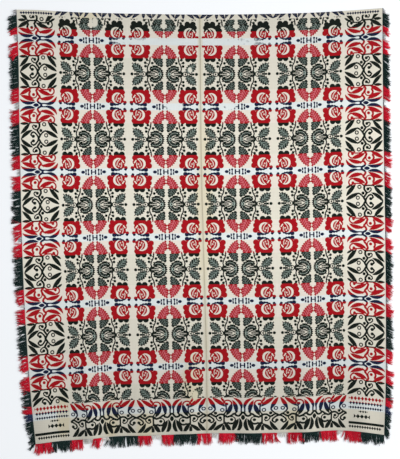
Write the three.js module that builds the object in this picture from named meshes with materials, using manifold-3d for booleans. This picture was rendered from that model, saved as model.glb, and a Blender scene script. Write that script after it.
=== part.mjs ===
// A woven bed coverlet, laid out flat with its face up. Two loom-width panels meet at a centre seam,
// and a cut fringe runs down both sides and along the foot. Units are millimetres, +Z is up and
// +Y points to the head edge. The coverlet has no fringe at the head.
import * as THREE from 'three';
import Module from 'manifold-3d';
import { mergeVertices } from 'three/addons/utils/BufferGeometryUtils.js';

const wasm = await Module();
wasm.setup();

// Cloth
const CLOTH = 2.2; // thickness of the double-woven cloth
const SEAM_GAP = 0.5; // between the two selvedges that the centre seam joins
const PANEL_COLUMNS = 15; // cells across one panel
const PANEL_ROWS = 34; // cells from head to foot

// Fringe
const TAPE_GAP = 0.5; // between the cloth's edge and the tape that holds the strands
const TAPE_WIDTH = 6;
const TAPE_THICKNESS = 2;
const ROOT_DEPTH = 4; // the most that a strand's root reaches into the tape
const ROOT_MARGIN = 0.5; // of tape that is left between a root's corner and the cloth
const STRAND_LENGTH = 54;
const STRAND_WIDTH = 17;
const STRAND_HEIGHT = 4;
const TIP_SHARE = 0.42; // of the strand's width and height that is left at its tip
const STRAND_STEPS = 2;
const WORN_LENGTH = 0.5; // share of its length that a strand keeps in a pale, worn band
const SIDE_STRANDS = 90;
const FOOT_STRANDS = 76;
const FOOT_TAPE_PIECES = 44;
const FLAT_TOLERANCE = 0.01; // faces this close to one plane are merged

// X of the left selvedge, the centre seam and the right selvedge, by share of the way down.
const SIDES = [
  { down: 0.0, left: -954, seam: -1, right: 948 },
  { down: 0.12, left: -943, seam: 2, right: 949 },
  { down: 0.25, left: -939, seam: 4, right: 952 },
  { down: 0.38, left: -933, seam: 8, right: 957 },
  { down: 0.52, left: -926, seam: 16, right: 962 },
  { down: 0.65, left: -915, seam: 24, right: 965 },
  { down: 0.78, left: -898, seam: 32, right: 966 },
  { down: 0.9, left: -877, seam: 36, right: 964 },
  { down: 1.0, left: -854, seam: 36, right: 957 },
];

// Y of the head and foot edges above the lowest corner, by share of the way across.
const ENDS = [
  { across: 0.0, head: 2258, foot: 0 },
  { across: 0.06, head: 2256, foot: 14 },
  { across: 0.11, head: 2250, foot: 21 },
  { across: 0.17, head: 2244, foot: 29 },
  { across: 0.24, head: 2240, foot: 41 },
  { across: 0.34, head: 2236, foot: 45 },
  { across: 0.5, head: 2232, foot: 56 },
  { across: 0.64, head: 2234, foot: 57 },
  { across: 0.78, head: 2240, foot: 63 },
  { across: 0.86, head: 2247, foot: 71 },
  { across: 0.93, head: 2256, foot: 65 },
  { across: 1.0, head: 2266, foot: 47 },
];

// Soft ripples where the cloth lifts off the floor: each one starts at a share of the way down, is
// full at another and runs on to the foot.
const RIPPLES = [
  { across: 0.03, starts: 0.8, full: 0.95, height: 7, halfWidth: 95 },
  { across: 0.16, starts: 0.74, full: 0.93, height: 10, halfWidth: 90 },
  { across: 0.31, starts: 0.84, full: 0.96, height: 6, halfWidth: 105 },
  { across: 0.45, starts: 0.76, full: 0.92, height: 9, halfWidth: 85 },
  { across: 0.62, starts: 0.82, full: 0.95, height: 7, halfWidth: 105 },
  { across: 0.78, starts: 0.72, full: 0.91, height: 10, halfWidth: 90 },
  { across: 0.94, starts: 0.8, full: 0.94, height: 8, halfWidth: 95 },
];
const MEAN_WIDTH = 1860; // turns a share across into millimetres

// The worn, pale bands of the fringe, as shares of the edge that it runs along.
const SIDE_WORN = { first: 0.065, pitch: 0.1545, count: 6, halfWidth: 0.011 };
const FOOT_WORN = [
  { across: 0.156, halfWidth: 0.02 },
  { across: 0.352, halfWidth: 0.016 },
  { across: 0.523, halfWidth: 0.013 },
  { across: 0.712, halfWidth: 0.014 },
  { across: 0.877, halfWidth: 0.012 },
];

// How far the strands of each side lean from straight out towards the foot, in degrees.
const LEFT_LEAN = { along: 14, atFoot: 58, from: 0.93 };
const RIGHT_LEAN = { along: 27, atFoot: 52, from: 0.93 };

const COLOURS = {
  panel: { color: '#c9c2b0', roughness: 0.92 },
  fringe: { color: '#4b1a22', roughness: 0.95 },
  footFringe: { color: '#3d1b24', roughness: 0.95 },
};

// A smooth curve through one column of a table, read at a value of its key column.
function readTable(rows, key, column, at) {
  let i = 0;
  while (i < rows.length - 2 && rows[i + 1][key] < at) i += 1;
  const slope = (a, b) => (b[column] - a[column]) / (b[key] - a[key]);
  const tangent = (k) => {
    const before = rows[Math.max(k - 1, 0)];
    const after = rows[Math.min(k + 1, rows.length - 1)];
    return slope(before, after);
  };
  const [p, q] = [rows[i], rows[i + 1]];
  const span = q[key] - p[key];
  const u = (at - p[key]) / span;
  const [m, n] = [tangent(i) * span, tangent(i + 1) * span];
  const a = 2 * p[column] - 2 * q[column] + m + n;
  const b = 3 * q[column] - 3 * p[column] - 2 * m - n;
  return ((a * u + b) * u + m) * u + p[column];
}

const smooth = (u) => {
  const c = THREE.MathUtils.clamp(u, 0, 1);
  return c * c * (3 - 2 * c);
};

// A repeatable value from -1 to 1 for strand i.
const scatter = (i, salt) => {
  const v = Math.sin(i * 12.9898 + salt * 78.233) * 43758.5453;
  return 2 * (v - Math.floor(v)) - 1;
};

// Height of the cloth's underside above the floor: a raised cosine across each ripple.
function lift(across, down) {
  return RIPPLES.reduce((sum, r) => {
    const off = Math.abs(across - r.across) * MEAN_WIDTH / r.halfWidth;
    if (off >= 1) return sum;
    const rise = smooth((down - r.starts) / (r.full - r.starts));
    return sum + r.height * rise * (0.5 + 0.5 * Math.cos(Math.PI * off));
  }, 0);
}

// A point of the underside, from shares of the way across (0 to 1) and down (0 to 1).
function clothPoint(across, down) {
  const [left, seam, right] = ['left', 'seam', 'right'].map((c) => readTable(SIDES, 'down', c, down));
  const x = across < 0.5
    ? THREE.MathUtils.lerp(left, seam, across * 2)
    : THREE.MathUtils.lerp(seam, right, across * 2 - 1);
  const head = readTable(ENDS, 'across', 'head', across);
  const foot = readTable(ENDS, 'across', 'foot', across);
  return new THREE.Vector3(x, THREE.MathUtils.lerp(head, foot, down), lift(across, down));
}

// A closed sheet between an underside grid of points and the same grid raised by a thickness.
// grid[row][column] runs so that the row direction crossed with the column direction is +Z.
function sheetGeometry(grid, thickness) {
  const [rows, columns] = [grid.length, grid[0].length];
  const positions = [];
  [0, thickness].forEach((rise) => grid.flat().forEach((p) => positions.push(p.x, p.y, p.z + rise)));
  const low = (r, c) => r * columns + c;
  const high = (r, c) => rows * columns + low(r, c);
  const index = [];
  const quad = (a, b, c, d) => index.push(a, b, c, a, c, d);
  for (let r = 0; r < rows - 1; r += 1) {
    for (let c = 0; c < columns - 1; c += 1) {
      quad(high(r, c), high(r + 1, c), high(r + 1, c + 1), high(r, c + 1));
      quad(low(r, c), low(r, c + 1), low(r + 1, c + 1), low(r + 1, c));
    }
  }
  for (let c = 0; c < columns - 1; c += 1) {
    quad(low(0, c), high(0, c), high(0, c + 1), low(0, c + 1));
    quad(high(rows - 1, c), low(rows - 1, c), low(rows - 1, c + 1), high(rows - 1, c + 1));
  }
  for (let r = 0; r < rows - 1; r += 1) {
    quad(high(r, 0), low(r, 0), low(r + 1, 0), high(r + 1, 0));
    quad(low(r, columns - 1), high(r, columns - 1), high(r + 1, columns - 1), low(r + 1, columns - 1));
  }
  const geometry = new THREE.BufferGeometry();
  geometry.setAttribute('position', new THREE.Float32BufferAttribute(positions, 3));
  geometry.setIndex(index);
  return geometry;
}

// One woven panel: side 0 is the left one and side 1 the right one.
function panelGeometry(side) {
  const grid = [];
  for (let r = 0; r <= PANEL_ROWS; r += 1) {
    const line = [];
    for (let c = 0; c <= PANEL_COLUMNS; c += 1) {
      const point = clothPoint((side + c / PANEL_COLUMNS) / 2, r / PANEL_ROWS);
      const atSeam = side === 0 ? c === PANEL_COLUMNS : c === 0;
      if (atSeam) point.x += (side === 0 ? -1 : 1) * SEAM_GAP / 2;
      line.push(point);
    }
    grid.push(line);
  }
  return sheetGeometry(grid, CLOTH);
}

// The tape that holds a fringe: a narrow strip just outside the cloth's edge. edge is the row of
// the cloth's own points, and out the direction away from the cloth.
function tapeGeometry(edge, out, flip) {
  const near = edge.map((p) => p.clone().addScaledVector(out, TAPE_GAP));
  const far = edge.map((p) => p.clone().addScaledVector(out, TAPE_GAP + TAPE_WIDTH));
  const pairs = near.map((p, i) => (flip ? [far[i], p] : [p, far[i]]));
  return sheetGeometry(pairs, TAPE_THICKNESS);
}

// One strand: a three-sided taper that lies on the floor, with its flat side down. root is on the
// tape, heading its direction in plan, and bend how far it turns along its length, in radians.
function strandGeometry(root, heading, bend, length, width, height) {
  const rings = [];
  const at = root.clone();
  for (let i = 0; i <= STRAND_STEPS; i += 1) {
    const u = i / STRAND_STEPS;
    const angle = heading + bend * u;
    const size = THREE.MathUtils.lerp(1, TIP_SHARE, u);
    const side = new THREE.Vector3(-Math.sin(angle), Math.cos(angle), 0).multiplyScalar(width * size / 2);
    const ground = root.z * (1 - smooth(u * 1.5));
    rings.push([
      new THREE.Vector3(at.x - side.x, at.y - side.y, ground),
      new THREE.Vector3(at.x + side.x, at.y + side.y, ground),
      new THREE.Vector3(at.x, at.y, ground + height * size),
    ]);
    at.x += Math.cos(angle) * length / STRAND_STEPS;
    at.y += Math.sin(angle) * length / STRAND_STEPS;
  }
  const positions = rings.flat().flatMap((p) => [p.x, p.y, p.z]);
  const index = [0, 2, 1];
  for (let i = 0; i < STRAND_STEPS; i += 1) {
    for (let k = 0; k < 3; k += 1) {
      const [a, b] = [3 * i + k, 3 * i + ((k + 1) % 3)];
      index.push(a, b, a + 3, b, b + 3, a + 3);
    }
  }
  const end = 3 * STRAND_STEPS;
  index.push(end, end + 1, end + 2);
  const geometry = new THREE.BufferGeometry();
  geometry.setAttribute('position', new THREE.Float32BufferAttribute(positions, 3));
  geometry.setIndex(index);
  return geometry;
}

function toSolid(geometry) {
  const bare = mergeVertices(geometry, 1e-4);
  const mesh = new wasm.Mesh({
    numProp: 3,
    vertProperties: new Float32Array(bare.attributes.position.array),
    triVerts: new Uint32Array(bare.index.array),
  });
  return new wasm.Manifold(mesh);
}

function toGeometry(solid) {
  const { vertProperties, triVerts } = solid.getMesh();
  const geometry = new THREE.BufferGeometry();
  geometry.setAttribute('position', new THREE.BufferAttribute(vertProperties, 3));
  geometry.setIndex(new THREE.BufferAttribute(triVerts, 1));
  return geometry;
}

// A tape with its strands fused to it as one body.
function fringeGeometry(tape, strands) {
  const body = strands.reduce((joined, s) => joined.add(toSolid(s)), toSolid(tape));
  return toGeometry(body.asOriginal().simplify(FLAT_TOLERANCE));
}

function inWornBand(share, bands) {
  return bands.some((b) => Math.abs(share - b.at) < b.halfWidth);
}

const sideBands = Array.from({ length: SIDE_WORN.count }, (_, k) => ({
  at: SIDE_WORN.first + SIDE_WORN.pitch * k,
  halfWidth: SIDE_WORN.halfWidth,
}));
const footBands = FOOT_WORN.map((b) => ({ at: b.across, halfWidth: b.halfWidth }));

// The strands of one side, from head to foot. sign is -1 on the left and 1 on the right.
function sideFringe(across, sign, lean, salt) {
  const out = new THREE.Vector3(sign, 0, 0);
  const edge = [];
  for (let r = 0; r <= PANEL_ROWS; r += 1) edge.push(clothPoint(across, r / PANEL_ROWS));
  const strands = [];
  for (let i = 0; i < SIDE_STRANDS; i += 1) {
    const down = (i + 0.5 + 0.12 * scatter(i, salt)) / SIDE_STRANDS;
    const nearFoot = smooth((down - lean.from) / (1 - lean.from));
    const degrees = THREE.MathUtils.lerp(lean.along, lean.atFoot, nearFoot) + 5 * scatter(i, salt + 1);
    const tilt = THREE.MathUtils.degToRad(degrees);
    const heading = sign > 0 ? -tilt : Math.PI + tilt;
    const worn = inWornBand(down, sideBands) ? WORN_LENGTH : 1;
    const length = STRAND_LENGTH * worn * (1 + 0.09 * scatter(i, salt + 2));
    const width = STRAND_WIDTH * (worn < 1 ? 0.7 : 1) * Math.cos(tilt);
    const bend = -sign * THREE.MathUtils.degToRad(7 * scatter(i, salt + 3));
    const corner = width / 2 * Math.sin(tilt);
    const depth = Math.min(ROOT_DEPTH, TAPE_WIDTH - corner - ROOT_MARGIN);
    const root = clothPoint(across, down).addScaledVector(out, TAPE_GAP + TAPE_WIDTH - depth);
    strands.push(strandGeometry(root, heading, bend, length, width, STRAND_HEIGHT));
  }
  return fringeGeometry(tapeGeometry(edge, out, sign < 0), strands);
}

// The strands of the foot fringe, from left to right.
function footFringe() {
  const out = new THREE.Vector3(0, -1, 0);
  const edge = [];
  for (let c = 0; c <= FOOT_TAPE_PIECES; c += 1) {
    edge.push(clothPoint(c / FOOT_TAPE_PIECES, 1));
  }
  const strands = [];
  for (let i = 0; i < FOOT_STRANDS; i += 1) {
    const across = (i + 0.5 + 0.12 * scatter(i, 11)) / FOOT_STRANDS;
    const root = clothPoint(across, 1).addScaledVector(out, TAPE_GAP + TAPE_WIDTH - ROOT_DEPTH);
    const heading = THREE.MathUtils.degToRad(-90 + 6 * scatter(i, 12));
    const worn = inWornBand(across, footBands) ? WORN_LENGTH : 1;
    const length = STRAND_LENGTH * worn * (1 + 0.1 * scatter(i, 13));
    const width = STRAND_WIDTH * (worn < 1 ? 0.7 : 1);
    const bend = THREE.MathUtils.degToRad(9 * scatter(i, 14));
    strands.push(strandGeometry(root, heading, bend, length, width, STRAND_HEIGHT));
  }
  return fringeGeometry(tapeGeometry(edge, out, true), strands);
}

function addPiece(group, name, geometry, finish) {
  geometry.computeVertexNormals();
  const material = new THREE.MeshStandardMaterial({ metalness: 0, flatShading: true, ...finish });
  const mesh = new THREE.Mesh(geometry, material);
  mesh.name = name;
  group.add(mesh);
}

const coverlet = new THREE.Group();
addPiece(coverlet, 'panel_left', panelGeometry(0), COLOURS.panel);
addPiece(coverlet, 'panel_right', panelGeometry(1), COLOURS.panel);
addPiece(coverlet, 'fringe_left', sideFringe(0, -1, LEFT_LEAN, 1), COLOURS.fringe);
addPiece(coverlet, 'fringe_right', sideFringe(1, 1, RIGHT_LEAN, 21), COLOURS.fringe);
addPiece(coverlet, 'fringe_foot', footFringe(), COLOURS.footFringe);

// The origin is on the floor under the middle of the coverlet's bounding box.
const middle = new THREE.Box3().setFromObject(coverlet).getCenter(new THREE.Vector3());
coverlet.position.set(-middle.x, -middle.y, 0);

export default coverlet;
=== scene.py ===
# %% [markdown]
# # A woven bed coverlet, laid out flat
# Two loom-width panels of figured double cloth are sewn together down the middle, and a cut fringe
# runs down both sides and along the foot. This lesson builds the cloth as two thin closed sheets, draws
# its pattern with shader nodes as a weaver charts it on squared paper, and lays a few thousand single
# yarns along three of its edges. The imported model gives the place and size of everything.

# %% Load the frame
import math

import bpy
import numpy as np
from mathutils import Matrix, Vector


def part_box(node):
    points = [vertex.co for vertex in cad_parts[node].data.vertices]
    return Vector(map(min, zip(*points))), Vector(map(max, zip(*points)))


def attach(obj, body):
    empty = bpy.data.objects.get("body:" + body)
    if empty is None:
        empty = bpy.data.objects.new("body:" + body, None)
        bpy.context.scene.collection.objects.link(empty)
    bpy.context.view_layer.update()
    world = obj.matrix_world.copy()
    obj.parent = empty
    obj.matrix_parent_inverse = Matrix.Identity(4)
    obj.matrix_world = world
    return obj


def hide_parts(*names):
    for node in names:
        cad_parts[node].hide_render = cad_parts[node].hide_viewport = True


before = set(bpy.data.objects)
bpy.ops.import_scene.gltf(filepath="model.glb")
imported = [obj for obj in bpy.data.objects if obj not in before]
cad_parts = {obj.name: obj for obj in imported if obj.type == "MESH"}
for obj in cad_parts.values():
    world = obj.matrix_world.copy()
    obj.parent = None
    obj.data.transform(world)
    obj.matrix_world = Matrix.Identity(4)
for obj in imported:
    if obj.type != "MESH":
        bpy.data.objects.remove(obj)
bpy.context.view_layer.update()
print("frame loaded, with the nodes", sorted(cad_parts))

# %% [markdown]
# ## The outline of the cloth
# No coverlet is a perfect rectangle. Its selvedges wander, the seam leans, and the head and foot edges
# sag a little. One way to get such an outline is to push the points of a rectangle about by hand. Here
# two short tables give the edges at a few places, and a smooth curve is read through them, because the
# same tables then place the pattern, the seam and the fringe.

# %% Tables of the outline, in metres
SIDES = [
    # share of the way down, X of the left selvedge, of the seam and of the right selvedge
    (0.00, -0.954, -0.001, 0.948),
    (0.12, -0.943, 0.002, 0.949),
    (0.25, -0.939, 0.004, 0.952),
    (0.38, -0.933, 0.008, 0.957),
    (0.52, -0.926, 0.016, 0.962),
    (0.65, -0.915, 0.024, 0.965),
    (0.78, -0.898, 0.032, 0.966),
    (0.90, -0.877, 0.036, 0.964),
    (1.00, -0.854, 0.036, 0.957),
]
ENDS = [
    # share of the way across, Y of the head edge and of the foot edge
    (0.00, 2.258, 0.000),
    (0.06, 2.256, 0.014),
    (0.11, 2.250, 0.021),
    (0.17, 2.244, 0.029),
    (0.24, 2.240, 0.041),
    (0.34, 2.236, 0.045),
    (0.50, 2.232, 0.056),
    (0.64, 2.234, 0.057),
    (0.78, 2.240, 0.063),
    (0.86, 2.247, 0.071),
    (0.93, 2.256, 0.065),
    (1.00, 2.266, 0.047),
]
down_knots, left_x, seam_x, right_x = np.array(SIDES).T
across_knots, head_y, foot_y = np.array(ENDS).T

left_low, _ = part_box("panel_left")
SHIFT_X = left_low.x - left_x[0]
SHIFT_Y = left_low.y - foot_y[0]
print(f"the tables are moved by {SHIFT_X:.4f} and {SHIFT_Y:.4f} m into the frame")


# %% Curves through a table
def smooth(t):
    """0 up to t = 0, 1 from t = 1 on, and 3 t squared less 2 t cubed between."""
    t = np.clip(t, 0, 1)
    return t * t * (3 - 2 * t)


def read_curve(knots, values, at):
    """A smooth curve through the points (knot, value), read at every number of the array at.

    Between two knots it is the cubic that meets both values, and its slope at a knot is that of the
    straight line between the knot's two neighbours.
    """
    last = len(knots) - 1
    before = np.maximum(np.arange(last + 1) - 1, 0)
    after = np.minimum(np.arange(last + 1) + 1, last)
    slope = (values[after] - values[before]) / (knots[after] - knots[before])
    i = np.clip(np.searchsorted(knots, at) - 1, 0, last - 1)
    span = knots[i + 1] - knots[i]
    t = (at - knots[i]) / span
    p, q = values[i], values[i + 1]
    m, n = slope[i] * span, slope[i + 1] * span
    return (((2 * p - 2 * q + m + n) * t + 3 * q - 3 * p - 2 * m - n) * t + m) * t + p


print("the head edge is at Y", read_curve(across_knots, head_y, np.array([0, 0.5, 1])) + SHIFT_Y)

# %% [markdown]
# ## The lie of the cloth
# The cloth lies on the floor, with a few soft ripples that rise towards the foot, and faint creases
# where it was once folded. A cloth simulation would find folds of its own. Here the ripples have to
# lie where they do on this coverlet, so each one is a raised cosine from a table.

# %% Ripples and creases
CLOTH = 0.0022
SEAM_GAP = 0.0005
MEAN_WIDTH = 1.86
RIPPLES = [
    # share across, share down where it starts and where it is full, height, half width
    (0.03, 0.80, 0.95, 0.007, 0.095),
    (0.16, 0.74, 0.93, 0.010, 0.090),
    (0.31, 0.84, 0.96, 0.006, 0.105),
    (0.45, 0.76, 0.92, 0.009, 0.085),
    (0.62, 0.82, 0.95, 0.007, 0.105),
    (0.78, 0.72, 0.91, 0.010, 0.090),
    (0.94, 0.80, 0.94, 0.008, 0.095),
]
CREASES = [
    # X and Y of the middle, in metres, direction in degrees, half length, half width, height
    (-0.49, 1.62, 88, 0.42, 0.011, 0.0011),
    (0.52, 1.50, 91, 0.50, 0.012, 0.0012),
    (-0.30, 1.12, 2, 0.46, 0.012, 0.0012),
    (0.46, 1.14, 178, 0.38, 0.012, 0.0011),
    (-0.66, 0.46, 76, 0.20, 0.014, 0.0014),
    (0.24, 0.42, 97, 0.18, 0.013, 0.0013),
    (0.78, 0.36, 84, 0.16, 0.014, 0.0014),
    (-0.12, 2.08, 168, 0.17, 0.012, 0.0010),
]


def hump(t):
    """Half of 1 plus the cosine of pi t: 1 in the middle, 0 at t = 1 and beyond."""
    return 0.5 + 0.5 * np.cos(np.pi * np.clip(np.abs(t), 0, 1))


def lift(across, down, x, y):
    """Height of the underside above the floor: all ripples and creases added up."""
    total = np.zeros(np.broadcast(across, down).shape)
    for middle, starts, full, height, half_width in RIPPLES:
        rise = smooth((down - starts) / (full - starts))
        total += height * rise * hump((across - middle) * MEAN_WIDTH / half_width)
    for mid_x, mid_y, degrees, half_length, half_width, height in CREASES:
        turn = math.radians(degrees)
        along = (x - mid_x) * math.cos(turn) + (y - mid_y) * math.sin(turn)
        aside = (y - mid_y) * math.cos(turn) - (x - mid_x) * math.sin(turn)
        total += height * hump(along / half_length) * hump(aside / half_width)
    return total


def cloth_place(across, down):
    """Points of the underside, from shares of the way across and down the whole cloth.

    X goes straight from the left selvedge to the seam and on to the right one. Y goes straight from
    the head edge to the foot edge. Z is the lift.
    """
    left, seam, right = (read_curve(down_knots, edge, down) for edge in (left_x, seam_x, right_x))
    x = np.where(across < 0.5, left + (seam - left) * across * 2, seam + (right - seam) * (across * 2 - 1))
    head = read_curve(across_knots, head_y, across)
    y = head + (read_curve(across_knots, foot_y, across) - head) * down
    return np.stack([x + SHIFT_X, y + SHIFT_Y, lift(across, down, x, y)], -1)


print("ripples and creases:", len(RIPPLES), "and", len(CREASES))

# %% [markdown]
# ## The weaver's chart
# A weaver draws the pattern on squared paper, and one square here is 2.6 mm of cloth. Across a panel
# the chart has a border and then four half units of the field, each the mirror image of the one
# before. Down the cloth it repeats every 130 squares. Each point of the cloth gets its place on the
# chart as a UV map, so the pattern follows every wander of the cloth.

# %% Places on the chart, in squares
BORDER = 76
HALF_UNIT = 72
HALF_REPEAT = 65
PANEL_SQUARES = BORDER + 4 * HALF_UNIT
CHART_LINES = BORDER + HALF_UNIT * np.arange(-1, 5)
CHART_LINES[0] = 0
LINES_AT_HEAD = np.array([0, 0.2073, 0.4032, 0.5990, 0.8015, 1])
LINES_AT_FOOT = np.array([0, 0.2134, 0.3947, 0.5917, 0.7967, 1])
LINES_BOW = np.array([0, 0.0005, 0.0040, 0.0045, 0.0040, 0])
DOWN_BOW = 1.2
FIRST_NAVY = 0.065
REPEAT = 0.1545


def chart_across(share, down):
    """Squares from the selvedge: straight from each line of the chart to the next one.

    The lines go straight from the head to the foot, and bow out towards the seam halfway down.
    """
    lines = LINES_AT_HEAD + (LINES_AT_FOOT - LINES_AT_HEAD) * down[..., None]
    lines = lines + LINES_BOW * (4 * down * (1 - down))[..., None]
    part = (share[..., None] - lines[..., :-1]) / np.diff(lines)
    return (np.clip(part, 0, 1) * np.diff(CHART_LINES)).sum(-1)


def chart_down(down):
    """Squares from the middle of the first navy band, which is nought. Halfway down, the picks sag
    towards the foot by DOWN_BOW squares."""
    return (down - FIRST_NAVY) / REPEAT * 2 * HALF_REPEAT - DOWN_BOW * 4 * down * (1 - down)


HEAD_EDGE = float(chart_down(0.0))
FOOT_EDGE = float(chart_down(1.0))
FOOT_BORDER = 5.5 * 2 * HALF_REPEAT
HEAD_STRIP = -44.4
print(f"the chart runs from {HEAD_EDGE:.1f} to {FOOT_EDGE:.1f} squares down, {PANEL_SQUARES} across")


# %% [markdown]
# ## Closed sheets
# Blender could thicken a flat grid with Solidify. Two grids with a rim are just as short to write, and
# they let the selvedge round off and the hem thicken where the real cloth does.

# %% Two helpers that every piece uses
def put(name, data):
    """An object in the scene that shows a mesh, a light or a camera."""
    piece = bpy.data.objects.new(name, data)
    bpy.context.scene.collection.objects.link(piece)
    return piece


def smooth_mesh(name, points, faces):
    """A mesh from rows of points and rows of faces, shaded smooth."""
    mesh = bpy.data.meshes.new(name)
    mesh.from_pydata(points.tolist(), [], faces.tolist())
    mesh.polygons.foreach_set("use_smooth", np.ones(len(faces), bool))
    return mesh


print("helpers put and smooth_mesh ready")


# %% A closed sheet from two grids of points
def closed_sheet(name, top, under, chart):
    """A mesh of a top grid and an underside grid, joined by a rim.

    Point (row, column) has the number row times columns plus column, and the underside follows the
    top in the same order. Rows run to the foot and columns to the right, so that a face that goes
    down, right and up again faces upwards.
    """
    rows, columns = top.shape[:2]
    high = np.arange(rows * columns).reshape(rows, columns)
    low = high + rows * columns
    corners = [
        (high[:-1, :-1], high[1:, :-1], high[1:, 1:], high[:-1, 1:]),
        (low[:-1, :-1], low[:-1, 1:], low[1:, 1:], low[1:, :-1]),
        (high[0, :-1], high[0, 1:], low[0, 1:], low[0, :-1]),
        (high[-1, 1:], high[-1, :-1], low[-1, :-1], low[-1, 1:]),
        (high[1:, 0], high[:-1, 0], low[:-1, 0], low[1:, 0]),
        (high[:-1, -1], high[1:, -1], low[1:, -1], low[:-1, -1]),
    ]
    faces = np.concatenate([np.stack(c, -1).reshape(-1, 4) for c in corners])
    mesh = smooth_mesh(name, np.concatenate([top.reshape(-1, 3), under.reshape(-1, 3)]), faces)
    corner_point = np.empty(len(mesh.loops), np.int32)
    mesh.loops.foreach_get("vertex_index", corner_point)
    squares = np.tile(chart.reshape(-1, 2), (2, 1))[corner_point].astype(np.float32)
    mesh.uv_layers.new(name="chart").uv.foreach_set("vector", squares.ravel())
    is_under = np.repeat([0.0, 1.0], rows * columns).astype(np.float32)
    mesh.attributes.new("reverse", "FLOAT", "POINT").data.foreach_set("value", is_under)
    return put(name, mesh)


print("closed sheets carry a UV map named chart and an attribute named reverse")

# %% The two panels
PANEL_WIDTH = 0.93
PANEL_LENGTH = 2.22
PANEL_ROWS = 250
PANEL_COLUMNS = 116
FINE_ENDS = np.array([0.0002, 0.0006, 0.0012, 0.0025, 0.005, 0.009, 0.013])
EDGE_ROUND = 0.0012
EDGE_THICKNESS = 0.34
UNDER_RISE = 0.3
HEM_DEPTH = 0.011
HEM_RISE = 0.0010
HEM_RAMP = 0.003
EVEN_STARTS = 1.6
SEAM_RISE = 0.0007
SEAM_REACH = 0.005
PUCKER_PITCH = 0.009
PUCKER_DEPTH = 0.25


def shares_with_fine_ends(count, size):
    """Even shares from 0 to 1, with finer steps at both ends, where FINE_ENDS gives the lengths."""
    fine = FINE_ENDS / size
    starts = fine[-1] * EVEN_STARTS
    even = np.linspace(starts, 1 - starts, count)
    return np.concatenate([[0], fine, even, 1 - fine[::-1], [1]])


def panel(name, side):
    """One loom width: side 0 is left of the seam and side 1 right of it.

    The thickness rounds off to a third at the edges, as the side of a circle does. The hems at the
    head and foot rise over 11 mm, and the seam puckers up over 5 mm.
    """
    rows = shares_with_fine_ends(PANEL_ROWS, PANEL_LENGTH)
    columns = shares_with_fine_ends(PANEL_COLUMNS, PANEL_WIDTH)
    down, share = np.meshgrid(rows, columns, indexing="ij")
    under = cloth_place((side + share) / 2, down)
    from_seam = (1 - share if side == 0 else share) * PANEL_WIDTH
    under[..., 0] += (1 if side else -1) * SEAM_GAP / 2 * (from_seam == 0)
    from_end = np.minimum(down, 1 - down) * PANEL_LENGTH
    from_edge = np.minimum(np.minimum(share, 1 - share) * PANEL_WIDTH, from_end)
    round_off = np.sqrt(1 - np.clip(1 - from_edge / EDGE_ROUND, 0, 1) ** 2)
    thick = CLOTH * (EDGE_THICKNESS + (1 - EDGE_THICKNESS) * round_off)
    thick += HEM_RISE * smooth((HEM_DEPTH - from_end) / HEM_RAMP) * round_off
    pucker = 1 - PUCKER_DEPTH + PUCKER_DEPTH * np.sin(down * PANEL_LENGTH * 2 * np.pi / PUCKER_PITCH)
    thick += SEAM_RISE * hump(from_seam / SEAM_REACH) * pucker * round_off
    top = under + thick[..., None] * np.array([0, 0, 1])
    under[..., 2] += CLOTH * UNDER_RISE * (1 - round_off)
    selvedge_share = share if side == 0 else 1 - share
    chart = np.stack([chart_across(selvedge_share, down), chart_down(down)], -1)
    return closed_sheet(name, top, under, chart)


cloth_left = panel("cloth_left", 0)
cloth_right = panel("cloth_right", 1)
for cloth in (cloth_left, cloth_right):
    print(cloth.name, "has", len(cloth.data.polygons) * 2, "triangles")


# %% [markdown]
# ## Drawing with shader nodes
# The pattern could be painted on an image, but then it would blur when the camera comes close. Instead
# each leaf, stem and petal is worked out from its distance to the place that is being shaded. Three
# small classes write the nodes, so that a motif below reads like a chart and not like wiring.

# %% Values that write Math nodes
class Value:
    """The output of a node. Sums with it, and less than and greater than, each write a Math node."""

    def __init__(self, draft, socket):
        self.draft = draft
        self.socket = socket

    def __add__(self, other):
        return self.draft.math("ADD", self, other)

    def __sub__(self, other):
        return self.draft.math("SUBTRACT", self, other)

    def __rsub__(self, other):
        return self.draft.math("SUBTRACT", other, self)

    def __mul__(self, other):
        return self.draft.math("MULTIPLY", self, other)

    def __truediv__(self, other):
        return self.draft.math("DIVIDE", self, other)

    def __lt__(self, other):
        return self.draft.math("LESS_THAN", self, other)

    def __gt__(self, other):
        return self.draft.math("GREATER_THAN", self, other)

    def __abs__(self):
        return self.draft.math("ABSOLUTE", self)


print("values add, subtract, multiply, divide and compare")


# %% A helper that writes all the other nodes
def srgb(red, green, blue, alpha=1.0):
    """A colour as a picture shows it, from 0 to 255, turned into the light that a shader works with."""
    parts = [c / 255 for c in (red, green, blue)]
    return (*[c / 12.92 if c <= 0.04045 else ((c + 0.055) / 1.055) ** 2.4 for c in parts], alpha)


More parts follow.
